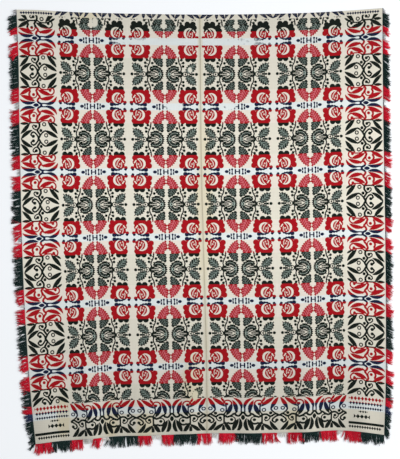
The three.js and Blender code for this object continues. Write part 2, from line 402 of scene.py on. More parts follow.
class Draft:
    """Writes a material's nodes in the order in which they are used. Wherever a value is wanted, a
    number, a colour or another node's output will do."""

    def __init__(self, name):
        self.material = bpy.data.materials.new(name)
        self.material.use_nodes = True
        self.tree = self.material.node_tree
        self.tree.nodes.clear()

    def node(self, kind, **settings):
        made = self.tree.nodes.new("ShaderNode" + kind)
        for key, value in settings.items():
            setattr(made, key, value)
        return made

    def feed(self, socket, value):
        if isinstance(value, Value):
            value = value.socket
        if isinstance(value, bpy.types.NodeSocket):
            self.tree.links.new(value, socket)
        elif socket.type == "VECTOR" and len(value) == 2:
            socket.default_value = (*value, 0)
        else:
            socket.default_value = value

    def output(self, which, kind, inputs, **settings):
        """Writes a node, feeds its inputs by name or number, and hands back one of its outputs."""
        made = self.node(kind, **settings)
        for key, value in inputs.items():
            self.feed(made.inputs[key], value)
        return Value(self, made.outputs[which])

    def math(self, operation, *values, clamp=False):
        return self.output(0, "Math", dict(enumerate(values)), operation=operation, use_clamp=clamp)

    def vector(self, operation, *values):
        is_number = operation in ("DISTANCE", "LENGTH", "DOT_PRODUCT")
        which = "Value" if is_number else "Vector"
        return self.output(which, "VectorMath", dict(enumerate(values)), operation=operation)

    def scaled(self, direction, by):
        return self.output("Vector", "VectorMath", {"Vector": direction, "Scale": by}, operation="SCALE")

    def combine(self, x, y):
        return self.output("Vector", "CombineXYZ", {"X": x, "Y": y})

    def split(self, place):
        x = self.output("X", "SeparateXYZ", {"Vector": place})
        return x, Value(self, x.socket.node.outputs["Y"])

    def mix(self, share, first, second):
        """first where share is 0, second where it is 1, for numbers."""
        return self.output(0, "Mix", {0: share, 2: first, 3: second}, data_type="FLOAT")

    def blend(self, share, first, second, kind="MIX"):
        """The same for colours."""
        inputs = {0: share, 6: first, 7: second}
        return self.output(2, "Mix", inputs, data_type="RGBA", blend_type=kind)

    def grey(self, value):
        """The grey colour with this value."""
        return self.output("Color", "CombineColor", {"Red": value, "Green": value, "Blue": value})

    def noise(self, place, scale, detail=2.0, roughness=0.5):
        """Cloudy values round a half."""
        inputs = {"Vector": place, "Scale": scale, "Detail": detail, "Roughness": roughness}
        return self.output("Fac", "TexNoise", inputs)

    def surface(self, inputs):
        """Ends the material in a Principled BSDF with these inputs."""
        shader = self.output("BSDF", "BsdfPrincipled", inputs)
        self.feed(self.node("OutputMaterial").inputs["Surface"], shader)


print("node helper ready")


# %% Shapes on squared paper
class Paper:
    """Shapes on a weaver's paper, round a place given in squares.

    Each shape is a number: how far the place is outside the shape's edge, in squares, and below
    nought inside it. The lesser of two such numbers is both shapes together, and the greater one is
    only what they share.
    """

    def __init__(self, draft, place):
        self.draft = draft
        self.place = place
        self.x, self.y = draft.split(place)

    def either(self, *shapes):
        joined = shapes[0]
        for shape in shapes[1:]:
            joined = self.draft.math("MINIMUM", joined, shape)
        return joined

    def both(self, first, second):
        return self.draft.math("MAXIMUM", first, second)

    def without(self, shape, cut):
        return self.both(shape, cut * -1)

    def dot(self, at, radius):
        """Distance to the middle, less the radius."""
        return self.draft.vector("DISTANCE", self.place, at) - radius

    def dots(self, places, radius):
        """The least of the distances to all the middles, less the radius."""
        nearest = self.draft.vector("DISTANCE", self.place, places[0])
        for at in places[1:]:
            nearest = self.either(nearest, self.draft.vector("DISTANCE", self.place, at))
        return nearest - radius

    def ring(self, at, radius, width):
        """How far the distance to the middle is from the radius, less half the width."""
        return abs(self.dot(at, radius)) - width / 2

    def arc(self, at, radius, width, towards, half_angle):
        """The part of a ring that lies towards a direction, up to half_angle either side of it."""
        turn = math.radians(towards)
        heading = (math.cos(turn), math.sin(turn))
        reach = heading[0] * at[0] + heading[1] * at[1] + radius * math.cos(math.radians(half_angle))
        aside = self.draft.vector("DOT_PRODUCT", self.place, heading)
        return self.both(self.ring(at, radius, width), reach - aside)

    def oval(self, at, radii):
        """The length of the place, measured in radii from the middle, less 1, back in squares."""
        away = self.draft.vector("SUBTRACT", self.place, at)
        away = self.draft.vector("MULTIPLY", away, (1 / radii[0], 1 / radii[1]))
        length = self.draft.vector("LENGTH", away)
        return self.draft.math("MULTIPLY_ADD", length, min(radii), -min(radii))

    def bar(self, at, half_width, half_height):
        """The greater of the two distances past a box's sides."""
        return self.both(abs(self.x - at[0]) - half_width, abs(self.y - at[1]) - half_height)

    def stroke(self, points, width):
        """A line through the points. The nearest point of each stretch is at the share of its way
        that the place's shadow falls on, kept between 0 and 1."""
        nearest = None
        for (ax, ay), (bx, by) in zip(points, points[1:]):
            way = (bx - ax, by - ay)
            squared = way[0] ** 2 + way[1] ** 2
            away = self.draft.vector("SUBTRACT", self.place, (ax, ay))
            share = self.draft.vector("DOT_PRODUCT", away, (way[0] / squared, way[1] / squared))
            share = self.draft.math("MINIMUM", self.draft.math("MAXIMUM", share, 0.0), 1.0)
            distance = self.draft.vector("DISTANCE", away, self.draft.scaled((*way, 0), share))
            nearest = distance if nearest is None else self.either(nearest, distance)
        return nearest - width / 2

    def curl(self, points, width, pieces=3):
        """A stroke through the points that bends smoothly, as several short stretches for each one."""
        points = np.array(points, float)
        knots = np.arange(len(points), dtype=float)
        at = np.linspace(0, len(points) - 1, (len(points) - 1) * pieces + 1)
        smooth_points = np.stack([read_curve(knots, points[:, k], at) for k in (0, 1)], -1)
        return self.stroke(smooth_points.tolist(), width)

    def leaf_side(self, base, tip, swell):
        """Inside the circle through base and tip that swells out to the left by swell squares. With a
        swell below nought it is outside the circle that bends in instead."""
        length = math.dist(base, tip)
        radius = (length ** 2 / 4 + swell ** 2) / (2 * swell)
        back = (swell - radius) / length
        middle = (
            (base[0] + tip[0]) / 2 - back * (tip[1] - base[1]),
            (base[1] + tip[1]) / 2 + back * (tip[0] - base[0]),
        )
        distance = self.draft.vector("DISTANCE", self.place, middle)
        if swell > 0:
            return distance - radius
        return -radius - distance

    def leaf(self, base, tip, left, right):
        """What lies inside both sides of a leaf. left and right are the swells, seen from the base."""
        return self.both(self.leaf_side(base, tip, left), self.leaf_side(tip, base, right))

    def notched(self, shape, heading, pitch, depth):
        """A shape whose edge moves in and out by depth with the sine of the way along a heading."""
        along = self.draft.vector("DOT_PRODUCT", self.place, [h * 2 * math.pi / pitch for h in heading])
        return self.draft.math("MULTIPLY_ADD", self.draft.math("SINE", along), depth, shape)


print("shapes: dot, ring, arc, oval, bar, stroke, curl and leaf")

# %% [markdown]
# ## The cloth's place on the chart
# The material first reads the chart from the UV map and snaps it to half squares, which gives every
# edge the small steps of woven cloth. Then it folds the chart as one folds paper for a cut-out: each
# half unit and half repeat is the same quarter motif, turned over.

# %% Folding the chart
weave = Draft("figured double cloth")
uv_chart = weave.node("UVMap", uv_map="chart").outputs["UV"]
STEP = 0.5
stepped = weave.vector("SNAP", uv_chart, (STEP, STEP, 1))
stepped = weave.vector("ADD", stepped, (STEP / 2, STEP / 2, 0))
across, down = weave.split(stepped)

field_x = weave.math("PINGPONG", across - (BORDER + HALF_UNIT), HALF_UNIT)
field_y = weave.math("PINGPONG", down, HALF_REPEAT)
in_foot = down > FOOT_BORDER
in_head = down < HEAD_STRIP
in_sides = across < BORDER
print("one field motif is", HALF_UNIT, "by", HALF_REPEAT, "squares, and is turned over at each edge")

# %% [markdown]
# ## The roses
# Each quarter of the field holds one rose: an oval with round petals along its edge. Two more petals
# reach into the dark band and four small ones into the navy band, and a bud hangs on its outer side. A
# broad crescent is left light, and so are a few curls and spots in the heart of the rose.

# %% Rose, bud and heart
quarter = Paper(weave, weave.combine(field_x, field_y))

rose = quarter.either(
    quarter.oval((47.8, 20.0), (15.0, 13.8)),
    quarter.dots([(35.6, 29.4), (33.0, 22.0), (60.6, 28.2), (59.8, 20.0)], 5.0),
    quarter.dots([(32.4, 12.2), (57.6, 12.0)], 5.3),
    quarter.dots([(47.0, 35.0), (58.0, 35.0)], 5.4),
    quarter.dot((39.3, 4.8), 4.3),
    quarter.dots([(46.0, 5.0), (50.9, 5.9), (55.2, 7.5)], 3.5),
)
bud = quarter.either(
    quarter.dot((65.6, 8.2), 3.3),
    quarter.dot((64.8, 5.4), 2.6),
    quarter.stroke([(60.0, 11.5), (65.0, 8.6)], 2.2),
)
heart = quarter.either(
    quarter.without(quarter.dot((50.4, 16.4), 11.1), quarter.dot((54.2, 15.6), 10.2)),
    quarter.stroke([(47.4, 12.4), (48.2, 17.4), (50.8, 22.2), (54.0, 25.6)], 2.1),
    quarter.stroke([(55.4, 8.4), (57.2, 12.6), (56.8, 18.4)], 1.8),
    quarter.stroke([(58.4, 22.6), (61.2, 18.6)], 2.5),
    quarter.dots([(51.0, 11.2), (53.4, 15.6)], 1.7),
)
print("rose, bud and heart drawn")

# %% [markdown]
# ## Leaves, berries and the dark flower
# The leaf beside the rose crosses from the red band into the dark one, so it is two leaves that meet
# there. A leaf is what two circles share, which gives it a point at both ends. Later the leaves get light
# veins, so they look paler than the rose.

# %% Leaves, stem and berries of the field
LEAF_JOIN = 33.4

red_leaf = quarter.both(quarter.leaf_side((26.0, 35.5), (4.3, 7.6), 4.0), field_y - LEAF_JOIN)
red_leaf = quarter.both(red_leaf, quarter.leaf_side((4.3, 7.6), (4.6, 35.0), 3.4))
red_leaf = quarter.without(red_leaf, quarter.dot((0.0, 32.2), 7.0))
red_leaf = quarter.notched(red_leaf, (0.6, 0.8), 5.0, 0.9)
dark_leaf = quarter.both(quarter.leaf_side((3.4, 51.0), (22.6, 33.0), 4.4), LEAF_JOIN - field_y)
dark_leaf = quarter.both(dark_leaf, quarter.leaf_side((4.6, 33.0), (4.4, 51.0), 1.2))
dark_leaf = quarter.notched(dark_leaf, (0.6, -0.8), 5.0, 0.7)
oak_leaf = quarter.leaf((42.6, 61.8), (62.6, 43.6), 8.6, 7.2)
oak_leaf = quarter.notched(oak_leaf, (0.74, -0.67), 4.8, 1.05)

STEM = [(27.8, 31.5), (28.4, 39.5), (30.0, 44.2), (32.6, 48.8), (33.9, 54.5), (32.4, 59.4), (28.6, 62.2)]
BERRIES = [(34.0, 36.6), (37.6, 42.4), (37.2, 49.4), (23.8, 43.0)]
stems = quarter.either(
    quarter.stroke(STEM, 2.1),
    quarter.stroke([(30.6, 45.4), (37.6, 42.4)], 0.9),
    quarter.stroke([(28.4, 39.4), (34.0, 36.6)], 1.2),
    quarter.dots(BERRIES, 2.5),
    quarter.bar((1.5, 23.4), 2.4, 0.8),
)
print("stem through", len(STEM), "points, with", len(BERRIES), "berries")

# %% Flower of the dark band, and the small bars of the navy band
FLOWER = (19.4, 65.0)
wreath = quarter.arc(FLOWER, 14.8, 4.0, 180, 128)
flower_dark = quarter.either(
    quarter.notched(wreath, (0.1, 1.0), 3.9, 0.9),
    quarter.dot((26.4, 55.2), 2.9),
    quarter.stroke([(32.4, 59.4), (36.4, 64.0)], 2.6),
    quarter.ring((41.6, 65.0), 4.7, 1.2),
    quarter.dot((41.6, 65.0), 1.5),
    quarter.dot((63.8, 65.0), 2.8),
)
flower_hatched = quarter.either(
    quarter.arc(FLOWER, 10.2, 4.8, 180, 128),
    quarter.bar((55.0, 65.0), 4.8, 1.8),
)
flower_middle = quarter.oval((24.0, 65.0), (11.6, 6.6))
flower_light = quarter.either(
    quarter.arc(FLOWER, 12.7, 0.5, 180, 120),
    quarter.ring((10.2, 65.0), 2.4, 1.0),
    quarter.oval((16.2, 65.0), (2.6, 1.9)),
    quarter.stroke([(16.0, 63.6), (20.4, 61.4), (26.0, 60.6)], 1.1),
    quarter.stroke([(16.0, 65.0), (32.0, 65.0)], 1.1),
)
navy_bars = quarter.either(
    quarter.bar((4.0, 0.0), 1.3, 5.0),
    quarter.bar((2.0, 0.0), 2.4, 0.6),
    quarter.dot((10.4, 4.4), 1.9),
    quarter.bar((10.4, 0.0), 0.7, 3.0),
    quarter.bar((15.5, 2.9), 1.4, 2.3),
    quarter.oval((21.4, 0.0), (3.6, 2.7)),
)
field_solid = quarter.either(rose, bud, stems, flower_dark, navy_bars)
field_light = quarter.either(heart, flower_light)
print("field motif drawn; the material has", len(weave.tree.nodes), "nodes so far")

# %% [markdown]
# ## The vine border
# The same vine runs down both sides and, turned a quarter, along the foot. So its shapes are drawn
# only once. What changes is the place that they are given: squares from the selvedge along the sides,
# and squares from the foot edge along the foot. The head shows the last few squares of such a border.

# %% Where the border is read
HEAD_VINE = HEAD_STRIP + 0.8
foot_depth = (FOOT_EDGE - down) * (BORDER / (FOOT_EDGE - FOOT_BORDER))
head_depth = HEAD_VINE - down
turned = weave.math("MAXIMUM", in_foot, in_head)
border_x = weave.mix(in_head, weave.mix(in_foot, across, foot_depth), head_depth)
border_y = weave.mix(turned, field_y, field_x * (HALF_REPEAT / HALF_UNIT))
edge = Paper(weave, weave.combine(border_x, border_y))
print("the border is read along the sides, and turned a quarter at the foot and the head")

# %% Shapes of the vine border
BORDER_LEAVES = [
    # base, tip, swell on the left and on the right of the way from base to tip
    ((25.2, 48.6), (3.0, 65.0), 5.2, 0.9),
    ((20.5, 35.0), (2.6, 54.4), 2.4, 3.8),
    ((17.4, 35.2), (2.4, 35.2), 2.4, 2.2),
    ((51.6, 49.8), (75.8, 62.8), 2.6, 3.9),
    ((57.2, 32.4), (75.4, 54.8), 3.0, 3.9),
    ((66.5, 33.8), (75.6, 39.6), 1.6, 1.6),
    ((63.6, 20.2), (38.4, 29.6), 4.5, 2.5),
    ((43.4, 12.2), (69.8, 18.6), 1.0, 5.6),
    ((52.0, 2.8), (74.8, 16.6), -2.1, 7.4),
    ((25.1, 33.8), (2.0, 20.8), 3.1, 3.5),
    ((30.4, 8.2), (4.2, 19.0), 3.0, 4.0),
    ((31.6, 6.0), (2.2, 11.6), 7.0, -1.3),
    ((39.0, 0.0), (28.8, 0.0), 2.9, 2.9),
]
BORDER_CURLS = [
    # width, points
    (2.7, [(37.8, 65.5), (39.0, 62.2), (41.0, 58.6), (37.8, 53.4),
           (35.4, 48.8), (38.6, 44.4), (40.2, 40.0), (38.8, 33.8)]),
    (2.8, [(38.8, 33.8), (35.0, 29.6), (35.2, 26.0), (38.0, 20.6), (41.6, 15.8), (38.2, 12.0)]),
    (2.8, [(38.2, 12.0), (37.0, 8.4), (39.2, 4.8), (43.2, 2.6), (44.6, 0.0)]),
    (1.8, [(41.6, 58.4), (45.6, 53.6), (50.4, 50.4), (55.0, 50.6)]),
    (1.4, [(40.7, 34.6), (44.6, 31.4), (51.0, 30.2), (58.0, 30.6), (67.5, 33.4)]),
]
BORDER_STROKES = [
    # width, points
    (2.0, [(24.8, 59.8), (22.6, 57.4), (23.8, 54.2), (26.9, 52.2),
           (30.4, 53.4), (33.6, 56.6), (36.2, 60.2), (37.6, 65.2)]),
    (1.1, [(35.4, 48.8), (30.6, 47.4), (26.8, 44.2), (26.0, 41.0), (28.2, 38.8), (31.0, 39.4)]),
    (1.8, [(21.0, 34.2), (30.0, 33.9), (38.4, 34.4)]),
    (1.9, [(41.4, 14.6), (46.6, 10.8)]),
    (1.2, [(44.6, 3.0), (54.5, 3.1)]),
]
BORDER_ARCS = [
    # middle, radius, width, towards (degrees), half angle (degrees)
    ((62.8, 28.0), 7.5, 1.6, -15, 108),
    ((27.6, 21.4), 7.4, 2.7, 190, 62),
    ((28.8, 20.6), 6.7, 1.0, -60, 78),
]
BORDER_DOTS = [(27.3, 60.6), (42.6, 49.5), (62.2, 29.2), (32.7, 41.3), (29.0, 20.4)]
BORDER_RINGS = [(53.0, 58.8), (49.4, 37.3)]

vine = edge.dots(BORDER_DOTS, 2.4)
for base, tip, left, right in BORDER_LEAVES:
    vine = edge.either(vine, edge.leaf(base, tip, left, right))
for width, points in BORDER_CURLS:
    vine = edge.either(vine, edge.curl(points, width))
for width, points in BORDER_STROKES:
    vine = edge.either(vine, edge.stroke(points, width))
for middle, radius, width, towards, half_angle in BORDER_ARCS:
    vine = edge.either(vine, edge.arc(middle, radius, width, towards, half_angle))
for middle in BORDER_RINGS:
    vine = edge.either(vine, edge.ring(middle, 3.1, 0.8))
print("border drawn; the material has", len(weave.tree.nodes), "nodes so far")

# %% [markdown]
# ## The corner blocks
# A block of rows fills each foot corner, with a plain bar under it, and one more row runs across the
# head of each side border. The rows here are plain diamonds in a few sizes, in the colours of the
# bands that they cross.

# %% Rows of diamonds and the bar
CORNER_ROWS = [
    # squares down, half height, pitch, squares across of the row's middle, half length
    (-49.0, 3.2, 5.0, 39, 33),
    (720.2, 4.0, 7.0, 39, 34),
    (729.6, 3.6, 6.0, 39, 34),
    (738.6, 3.0, 5.0, 39, 34),
    (746.2, 2.4, 5.0, 44, 9),
    (756.0, 4.4, 8.0, 46, 16),
    (777.0, 3.3, 5.0, 39, 33),
]
CORNER_BAR = (36.5, 769.4)
corner = Paper(weave, weave.combine(across, down))
rows = corner.bar(CORNER_BAR, 35.5, 2.5)
for row_down, half_height, pitch, middle, half_length in CORNER_ROWS:
    from_middle = across - middle
    sideways = weave.math("PINGPONG", from_middle, pitch / 2)
    diamond = weave.math("MULTIPLY_ADD", sideways, half_height * 2 / pitch, abs(down - row_down))
    rows = corner.either(rows, corner.both(diamond - half_height, abs(from_middle) - half_length))
in_corner = in_sides * turned
print(len(CORNER_ROWS), "rows of diamonds and a bar")

# %% [markdown]
# ## From shapes to figure
# The figure is 1 where a coloured thread lies on top and 0 where the ground does. Leaves keep a full
# outline, and in their veins the two kinds of thread lie mixed, so that the veins show lighter. On the
# reverse of double cloth the two layers have changed places, so there figure and ground change about.

# %% Figure and ground
INK_SPREAD = 0.25
VINE_SPREAD = 0.68
OUTLINE = -1.5
VEIN_PITCH = 5.2
VEIN_SHARE = 0.46
VEIN_SLANT = 0.9
MIDRIB = 0.7
HEART = (52.9, 15.8)
HEART_RADIUS = 7.5
HEART_BLUSH = 0.25
HEM_LINE = 5.5


def veined(shape, base, tip, between_veins):
    """1 on a leaf's outline and between its veins less, so that the veins show light.

    The veins slant away from the midrib like the barbs of a feather: they are lines of equal way
    along the midrib less the slant times the distance from it.
    """
    length = math.dist(base, tip)
    way = ((tip[0] - base[0]) / length, (tip[1] - base[1]) / length)
    away = weave.vector("SUBTRACT", quarter.place, base)
    aside = abs(weave.vector("DOT_PRODUCT", away, (-way[1], way[0])))
    along = weave.vector("DOT_PRODUCT", away, way)
    barbs = weave.math("MULTIPLY_ADD", aside, -VEIN_SLANT, along)
    barbs = weave.math("FRACT", barbs / VEIN_PITCH)
    solid = weave.math("MINIMUM", barbs > VEIN_SHARE, aside > MIDRIB)
    solid = weave.math("MAXIMUM", solid, shape > OUTLINE)
    tone = weave.math("MAXIMUM", solid, between_veins)
    return tone * (shape < INK_SPREAD)


VEINED = [
    # shape, base and tip of its midrib, how much coloured thread shows in the veins
    (red_leaf, (14.5, 34.0), (5.0, 9.0), 0.62),
    (dark_leaf, (11.5, 33.0), (7.5, 52.0), 0.78),
    (oak_leaf, (42.6, 61.8), (62.6, 43.6), 0.62),
    (flower_hatched, (12.0, 53.0), (30.0, 53.4), 0.86),
    (flower_middle, (36.0, 65.0), (10.0, 65.0), 0.80),
]
field_figure = field_solid < INK_SPREAD
for shape, base, tip, between_veins in VEINED:
    field_figure = weave.math("MAXIMUM", field_figure, veined(shape, base, tip, between_veins))
field_figure = field_figure * (field_light > 0.0)
heart_core = quarter.dot(HEART, HEART_RADIUS) < 0.0
field_figure = weave.math("MAXIMUM", field_figure, heart_core * HEART_BLUSH)

in_border = weave.math("MAXIMUM", in_sides, turned)
leaves = quarter.either(red_leaf, dark_leaf, oak_leaf, flower_hatched)
on_leaf = (leaves < INK_SPREAD) * (1.0 - in_border)
figure = weave.mix(in_border, field_figure, vine < VINE_SPREAD)
figure = weave.mix(in_corner, figure, rows < 0.0)
figure = figure * (down < FOOT_EDGE - HEM_LINE)
print("figure and ground settled")

# %% [markdown]
# ## The bands of weft
# The coloured weft changes in bands that run right across both panels: navy, red and a dark green that
# is nearly black. The ground behind each band is tinged by it. The band is chosen by the distance to
# the middle of the nearest navy band, and the first and last repeats have changes of their own.

# %% Bands and their colours
NAVY_HALF = 7.2
RED_HALF = 33.4
FIRST_RED_HALF = 20.7
FOOT_NAVY = 735.8
FOOT_DARK = 742.5
ALWAYS_DARK = 100.0
NAVY_YARN = srgb(15, 24, 52)
RED_YARN = srgb(154, 8, 20)
DARK_YARN = srgb(13, 21, 15)
GROUND = srgb(212, 207, 192)
GROUND_IN_RED = srgb(218, 209, 197)
GROUND_IN_NAVY = srgb(212, 218, 217)
VEIN_IN_RED = srgb(232, 150, 160)
VEIN_IN_DARK = srgb(172, 190, 180)

at_foot = weave.math("MULTIPLY_ADD", down > FOOT_DARK, ALWAYS_DARK, abs(down - FOOT_NAVY))
from_navy = weave.mix(in_head, weave.mix(in_foot, field_y, at_foot), 0.0)
red_half = weave.math("MULTIPLY_ADD", down < 0.0, FIRST_RED_HALF - RED_HALF, RED_HALF)
is_red = from_navy > NAVY_HALF
is_dark = from_navy > red_half
yarn_colour = weave.blend(is_dark, weave.blend(is_red, NAVY_YARN, RED_YARN), DARK_YARN)
ground_colour = weave.blend(is_dark, weave.blend(is_red, GROUND_IN_NAVY, GROUND_IN_RED), GROUND)
ground_colour = weave.blend(in_head, ground_colour, GROUND)
vein_colour = weave.blend(is_dark, VEIN_IN_RED, VEIN_IN_DARK)
ground_colour = weave.blend(on_leaf, ground_colour, vein_colour)
print("bands: navy to", NAVY_HALF, "and red to", RED_HALF, "squares from each navy line")

# %% [markdown]
# ## Wear, age and painted shade
# The navy wool has worn away in places, and a few spots have rubbed pale or stained. Painted shade
# darkens the troughs between the ripples at the foot, in the stain colour. Each one is an oval from
# a short table, with its edge broken up by noise, so that some threads hold on.

# %% Worn and stained places, and painted shade at the foot
object_place = weave.node("TexCoord").outputs["Object"]
NAVY_WORN = [
    # X, Y, half width and half height, in the metres of the outline tables
    (-0.052, 2.083, 0.430, 0.045),
    (-0.138, 1.757, 0.052, 0.030),
    (0.156, 1.757, 0.035, 0.025),
]
RUBBED = [
    (-0.546, 2.192, 0.018, 0.030),
    (-0.026, 0.254, 0.018, 0.030),
    (-0.052, 1.944, 0.014, 0.018),
]
# real stains first, then painted shade at the foot
STAINS_AND_FOOT_SHADE = [
    (-0.590, 2.234, 0.075, 0.030),
    (-0.040, 0.330, 0.060, 0.170),
    (0.020, 1.250, 0.050, 0.500),
    # the last four are painted shade: darker ovals in the troughs between the ripples at the foot
    (-0.709, 0.140, 0.040, 0.130),
    (-0.460, 0.130, 0.045, 0.130),
    (-0.285, 0.100, 0.055, 0.090),
    (0.478, 0.160, 0.040, 0.120),
]
RAGGED_EDGE = 3.0
ragged = weave.noise(object_place, 55.0, 3.0, 0.6)


def ragged_ovals(places, raggedness):
    """0 outside the ovals and 1 well inside: 1 less the least distance in radii, moved by noise."""
    nearest = None
    for x, y, half_width, half_height in places:
        away = weave.vector("SUBTRACT", object_place, (x + SHIFT_X, y + SHIFT_Y, 0))
        away = weave.vector("MULTIPLY", away, (1 / half_width, 1 / half_height, 0))
        length = weave.vector("LENGTH", away)
        nearest = length if nearest is None else weave.math("MINIMUM", nearest, length)
    moved = weave.math("MULTIPLY_ADD", ragged, -raggedness, nearest)
    return weave.math("MULTIPLY_ADD", moved, -RAGGED_EDGE, RAGGED_EDGE * (1 - raggedness / 2), clamp=True)


navy_worn = ragged_ovals(NAVY_WORN, 0.9) * (from_navy < NAVY_HALF)
rubbed = ragged_ovals(RUBBED, 0.7)
ground_colour = weave.blend(rubbed, ground_colour, GROUND)
figure = figure * (1.0 - weave.math("MAXIMUM", navy_worn, rubbed))
figure = abs(figure - weave.node("Attribute", attribute_name="reverse").outputs["Fac"])
# stains, and painted shade in the troughs between the ripples at the foot
stains_and_painted_shade = ragged_ovals(STAINS_AND_FOOT_SHADE, 0.8)
print("worn places:", len(NAVY_WORN) + len(RUBBED), "and stains:", len(STAINS_AND_FOOT_SHADE))

# %% [markdown]
# ## Thread by thread
# Close to, the cloth is rows of picks over warp ends. Fine noise, stretched along the warp and along
# the weft, makes each thread a little lighter or darker than the next, and two crossed waves give the
# bump of the weave. All of it is quiet, because from a step away the cloth looks even. Years of use
# have also greyed the foot and, less, the head.

# %% Light and dark of the threads
FADE_STARTS = 385.0
FADE_LENGTH = 344.0
FADE_DEPTH = 0.285
HEAD_FADE_LENGTH = 180.0
HEAD_FADE_DEPTH = 0.15
STREAK_DEPTH = 0.13
STREAK_BASE = 0.845
long_warp = weave.vector("MULTIPLY", object_place, (420.0, 9.0, 1.0))
long_weft = weave.vector("MULTIPLY", object_place, (9.0, 420.0, 1.0))
streaks = weave.noise(long_warp, 1.0, 1.0) + weave.noise(long_weft, 1.0, 1.0)
streaks = streaks + weave.noise(object_place, 2.3, 3.0)
shade = weave.math("MULTIPLY_ADD", streaks, STREAK_DEPTH, STREAK_BASE)
to_foot = weave.math("MAXIMUM", down - FADE_STARTS, 0.0)
to_head = weave.math("MAXIMUM", HEAD_FADE_LENGTH - down, 0.0)
shade = weave.math("MULTIPLY_ADD", to_foot, -FADE_DEPTH / FADE_LENGTH, shade)
shade = weave.math("MULTIPLY_ADD", to_head, -HEAD_FADE_DEPTH / HEAD_FADE_LENGTH, shade)
print("threads, foot and head shaded")

# %% Stains, painted shade at the foot, seam and the mixed colour
# one colour for the stains and for the painted shade in the troughs at the foot
STAIN_AND_SHADE_COLOUR = srgb(206, 192, 150)
STAIN_AND_SHADE_STRENGTH = 0.45
SEAM_TINT = srgb(205, 198, 176)
SEAM_STRIP = 359.0
SEAM_TINT_STRENGTH = 0.6
SEAM_SHADOW = srgb(120, 104, 78)
SEAM_LINE = 362.7
SEAM_SHADOW_STRENGTH = 0.30
# the stain colour, laid on the real stains and as painted shade on the foot troughs
ground_colour = weave.blend(stains_and_painted_shade * STAIN_AND_SHADE_STRENGTH, ground_colour, STAIN_AND_SHADE_COLOUR)
ground_colour = weave.blend((across > SEAM_STRIP) * SEAM_TINT_STRENGTH, ground_colour, SEAM_TINT)
cloth_colour = weave.blend(figure, ground_colour, yarn_colour)
cloth_colour = weave.blend((across > SEAM_LINE) * SEAM_SHADOW_STRENGTH, cloth_colour, SEAM_SHADOW)
cloth_colour = weave.blend(1.0, cloth_colour, weave.grey(shade), kind="MULTIPLY")
print("cloth colour mixed")

# %% Weave bump and the finished cloth
uv_x, uv_y = weave.split(uv_chart)
THREADS = 2 * math.pi / STEP
ends = weave.math("SINE", uv_x * THREADS)
picks = weave.math("SINE", uv_y * THREADS)
bump = {"Strength": 0.35, "Distance": 0.0004, "Height": ends * picks}
weave.surface({
    "Base Color": cloth_colour,
    "Normal": weave.output("Normal", "Bump", bump),
    "Roughness": 0.9,
    "Specular IOR Level": 0.12,
    "Sheen Weight": 0.03,
    "Sheen Roughness": 0.6,
})
for cloth in (cloth_left, cloth_right):
    cloth.data.materials.append(weave.material)
print("the cloth material has", len(weave.tree.nodes), "nodes")

# %% Who rides on what, and which frame part each panel stands for
for cloth, node in ((cloth_left, "panel_left"), (cloth_right, "panel_right")):
    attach(cloth, "root")
    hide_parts(node)
    print(cloth.name, "stands for", node)

# %% [markdown]
# ## Yarns
# A fringe is a few thousand loose ends of yarn. Curves with a round bevel would do, and so would hair.
# Here all the yarns of one fringe are worked out at once as four-sided tubes in numpy, which keeps them
# light and lets every point of every yarn have its own colour.

# %% Tubes round many middle lines
YARN_SIDES = 4


def tubes(middles, radii, colours):
    """Points, faces and colours of closed tubes, one for each row of middle points.

    Round each middle point stand four corners, at right angles to the way the line goes there. The
    walls join each ring to the next, and the first and last rings are closed by a face.
    """
    count, steps = middles.shape[:2]
    way = np.gradient(middles, axis=1)
    way /= np.linalg.norm(way, axis=-1, keepdims=True)
    flat = np.cross(way, [0.0, 0.0, 1.0])
    flat /= np.linalg.norm(flat, axis=-1, keepdims=True)
    upright = np.cross(flat, way)
    turn = 2 * np.pi * (np.arange(YARN_SIDES) + 0.5) / YARN_SIDES
    ring = np.cos(turn)[:, None] * flat[:, :, None] + np.sin(turn)[:, None] * upright[:, :, None]
    corners = middles[:, :, None] + radii[..., None, None] * ring
    number = np.arange(count * steps * YARN_SIDES).reshape(count, steps, YARN_SIDES)
    beside = np.roll(number, -1, axis=2)
    walls = np.stack([number[:, :-1], number[:, 1:], beside[:, 1:], beside[:, :-1]], -1)
    faces = np.concatenate([walls.reshape(-1, 4), number[:, 0], number[:, -1, ::-1]])
    return corners.reshape(-1, 3), faces, np.repeat(colours.reshape(-1, 3), YARN_SIDES, axis=0)


def yarn_piece(name, *bundles):
    """One object from several bundles of tubes, with the colours as a point attribute."""
    start = np.cumsum([0] + [len(points) for points, _, _ in bundles])
    points = np.concatenate([b[0] for b in bundles])
    faces = np.concatenate([b[1] + s for b, s in zip(bundles, start)])
    colours = np.concatenate([b[2] for b in bundles])
    mesh = smooth_mesh(name, points, faces)
    colours = np.column_stack([colours, np.ones(len(colours))]).astype(np.float32)
    dyed = mesh.attributes.new("yarn_colour", "FLOAT_COLOR", "POINT")
    dyed.data.foreach_set("color", colours.ravel())
    piece = put(name, mesh)
    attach(piece, "root")
    print(name, "has", len(faces) * 2, "triangles")
    return piece


print("tubes have", YARN_SIDES, "sides")

# %% [markdown]
# ## How a fringe lies
# Cut ends never lie side by side like the teeth of a comb. They cling together in locks of a few yarns,
# each lock with its own lean and length, and some lie over others. So every yarn takes part of its
# lean from its lock and the rest from chance, and the yarns of a lock draw together at their tips.

# %% Laying loose ends
LOCK_YARNS = 12
YARN_STEPS = 6
YARN_RADIUS = 0.00122
PILE_HEIGHT = 0.0042
